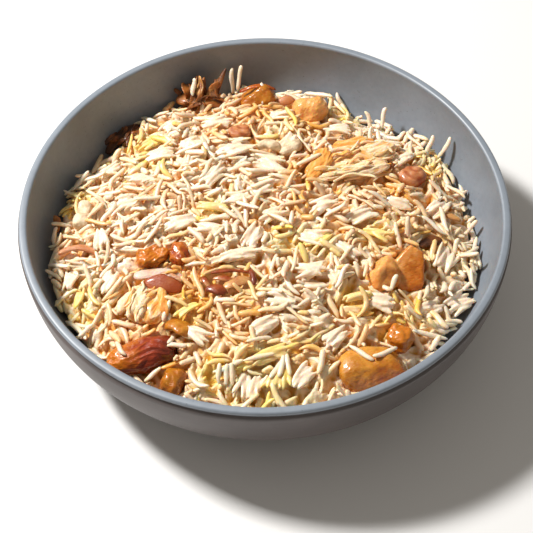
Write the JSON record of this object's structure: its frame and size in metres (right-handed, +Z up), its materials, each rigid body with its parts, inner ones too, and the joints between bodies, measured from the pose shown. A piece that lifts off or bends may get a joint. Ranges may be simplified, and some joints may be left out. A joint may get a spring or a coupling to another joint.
{
  "type": "bowl of biryani",
  "caption": "Shallow grey stoneware bowl filled with a low heap of long-grain rice, with chicken pieces, shreds, fried onion and nuts lying in its top.",
  "frame": {"origin": "centre of the foot's base on the surface the bowl stands on", "axes": "+Z up through the bowl's mouth, -Y towards the side that the picture shows nearest, +X to its right"},
  "size_m": [0.2212, 0.2212, 0.056],
  "materials": {
    "stoneware": "satin grey glaze over a fine speckled clay, smooth wall with a rounded lip",
    "rice": "cooked long-grain rice, white to cream with saffron yellow and gravy-stained grains, moist sheen",
    "chicken": "orange-brown cooked chicken with a glossy gravy skin",
    "chicken_dark": "dark red-brown glazed chicken, wrinkled and glossy",
    "chicken_shreds": "torn chicken fibres, peach to orange",
    "fried_onion": "crisp fried onion, dark brown at its edges",
    "soft_onion": "soft translucent onion stained by gravy",
    "bone": "pale knobbly bone end",
    "nut": "pale beige nut, split down its middle"
  },
  "bodies": {
    "root": {"bowl": "stoneware", "rice": "rice", "chicken_right": "chicken", "chicken_front": "chicken", "chicken_front_small": "chicken", "chicken_front_left": "chicken", "chicken_sliver": "chicken", "chicken_back": "chicken", "chicken_back_right": "chicken", "chicken_left_large": "chicken", "chicken_left_small": "chicken", "chicken_dark": "chicken_dark", "chicken_shreds_left": "chicken_shreds", "chicken_shreds_right": "chicken_shreds", "onion_round_back": "soft_onion", "onion_round": "soft_onion", "onion_slice_left": "soft_onion", "fried_onion_centre": "fried_onion", "fried_onion_back": "fried_onion", "fried_onion_left": "fried_onion", "fried_onion_right": "fried_onion", "onion_curl": "fried_onion", "onion_strand_left": "soft_onion", "onion_strand_right": "fried_onion", "onion_back": "soft_onion", "bone_end": "bone", "nut_left": "nut", "nut_right": "nut"}
  },
  "joints": []
}
